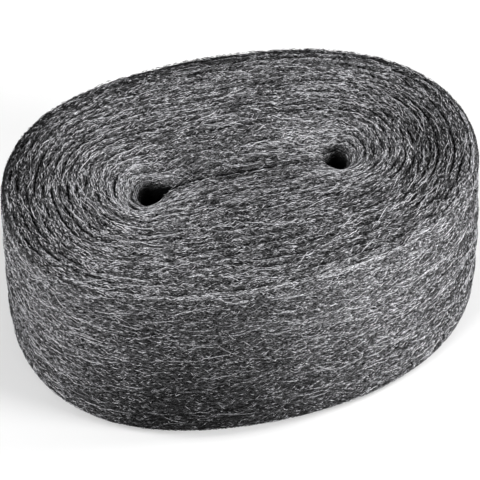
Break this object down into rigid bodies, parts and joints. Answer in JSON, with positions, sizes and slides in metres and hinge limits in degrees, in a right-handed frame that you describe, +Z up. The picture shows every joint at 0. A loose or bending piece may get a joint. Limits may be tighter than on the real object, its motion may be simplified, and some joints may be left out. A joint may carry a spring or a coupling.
{
  "type": "steel wool roll",
  "caption": "Roll of steel wool ribbon wound into a flattened oval spiral round two small eyes, standing on its end, for rubbing down, cleaning and polishing.",
  "frame": {"origin": "middle of the roll's box at its foot, where it stands", "axes": "+X along the oval's long side, from the larger eye to the smaller; -Y the front, towards the camera; +Z up, out of the spiral end"},
  "size_m": [0.2502, 0.1782, 0.1],
  "materials": {
    "steel_wool": "dull grey matted fibres with fine bright strands"
  },
  "bodies": {
    "root": {"steel_wool_roll": "steel_wool"}
  },
  "joints": []
}
